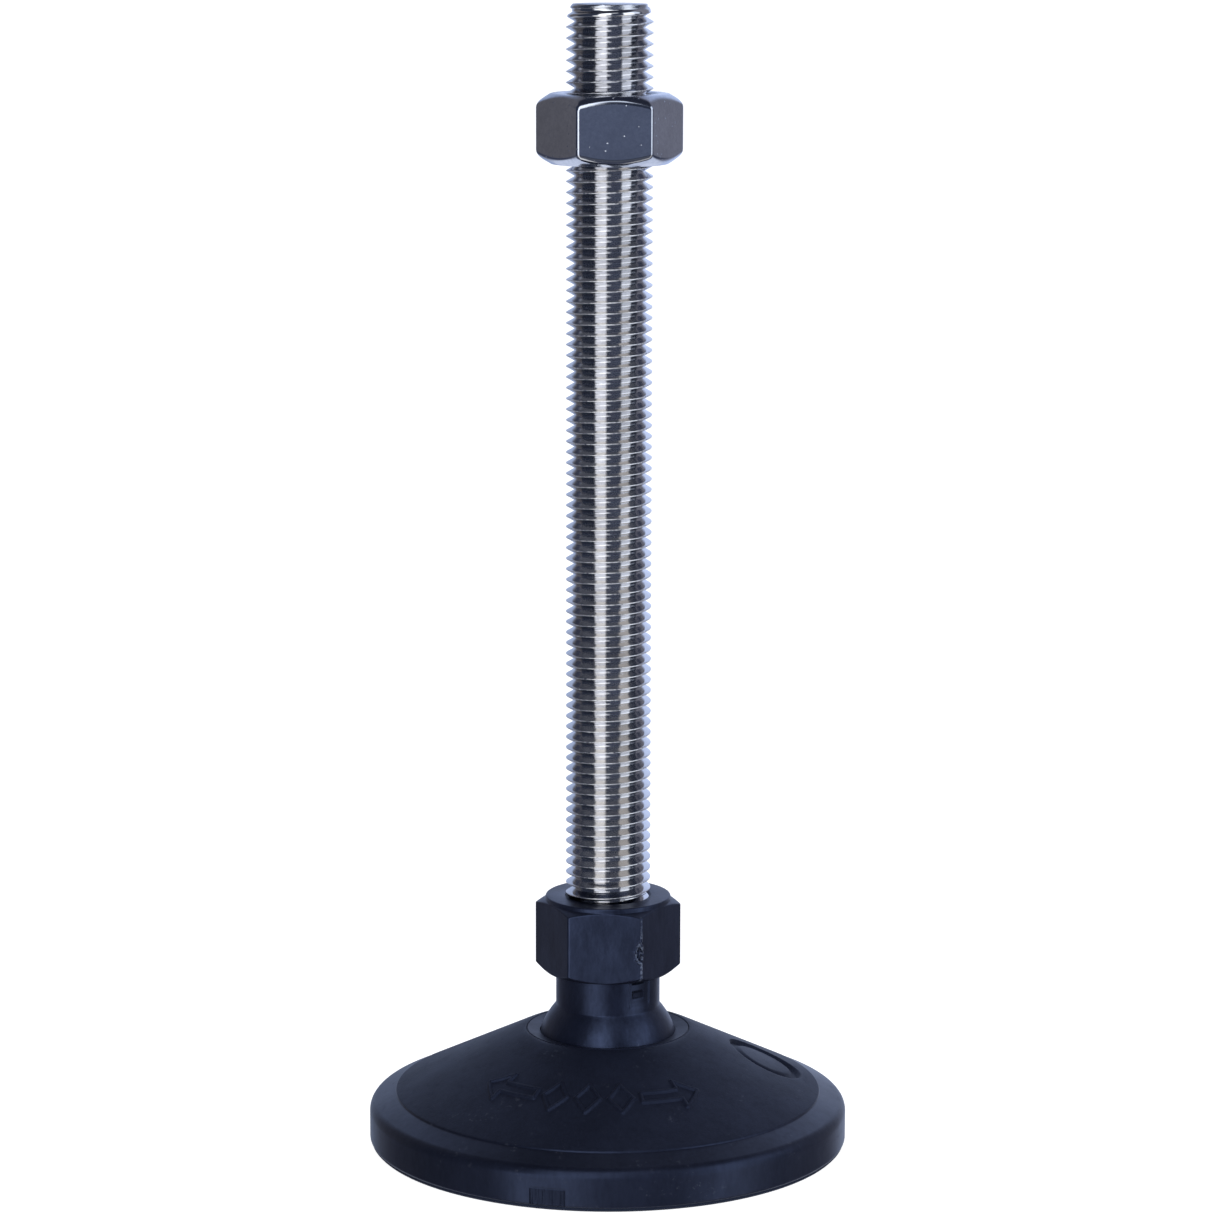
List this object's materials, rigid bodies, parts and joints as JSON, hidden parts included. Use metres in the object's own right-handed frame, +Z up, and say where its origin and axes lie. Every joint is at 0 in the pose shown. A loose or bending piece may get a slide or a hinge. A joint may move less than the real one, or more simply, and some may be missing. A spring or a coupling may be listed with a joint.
{
  "type": "levelling foot",
  "caption": "Articulated levelling foot: round moulded base with rubber tread, ball-jointed hexagon stem, long threaded steel spindle and lock nut.",
  "frame": {"origin": "on the spindle's axis, in the plane of the floor under the tread pad", "axes": "+Z up along the spindle, from the tread pad towards the free end of the thread; -Y towards the front"},
  "size_m": [0.0908, 0.0908, 0.2145],
  "materials": {
    "base_plastic": "fine matt texture on the cone, satin rim",
    "pad_rubber": "dull moulded rubber",
    "liner_plastic": "satin",
    "cup_steel": "pressed",
    "stem_plastic": "satin moulding",
    "stainless_steel": "rolled thread, turned faces"
  },
  "bodies": {
    "base": {"base_shell": "base_plastic", "tread_pad": "pad_rubber", "thrust_cup": "cup_steel"},
    "liner": {"socket_liner": "liner_plastic"},
    "stem": {"swivel_stem": "stem_plastic", "threaded_spindle": "stainless_steel"},
    "nut": {"lock_nut": "stainless_steel"}
  },
  "joints": [
    {"name": "stem_turn", "type": "hinge", "parent": "base", "child": "liner", "pos_m": [0, 0, 0.0174], "axis": [0, 0, 1], "continuous": true},
    {"name": "stem_tilt", "type": "hinge", "parent": "liner", "child": "stem", "pos_m": [0, 0, 0.0174], "axis": [1, 0, 0], "range_deg": [-15, 15]},
    {"name": "nut_travel", "type": "slide", "parent": "stem", "child": "nut", "axis": [0, 0, 1], "range_m": [-0.136, 0.014]}
  ]
}
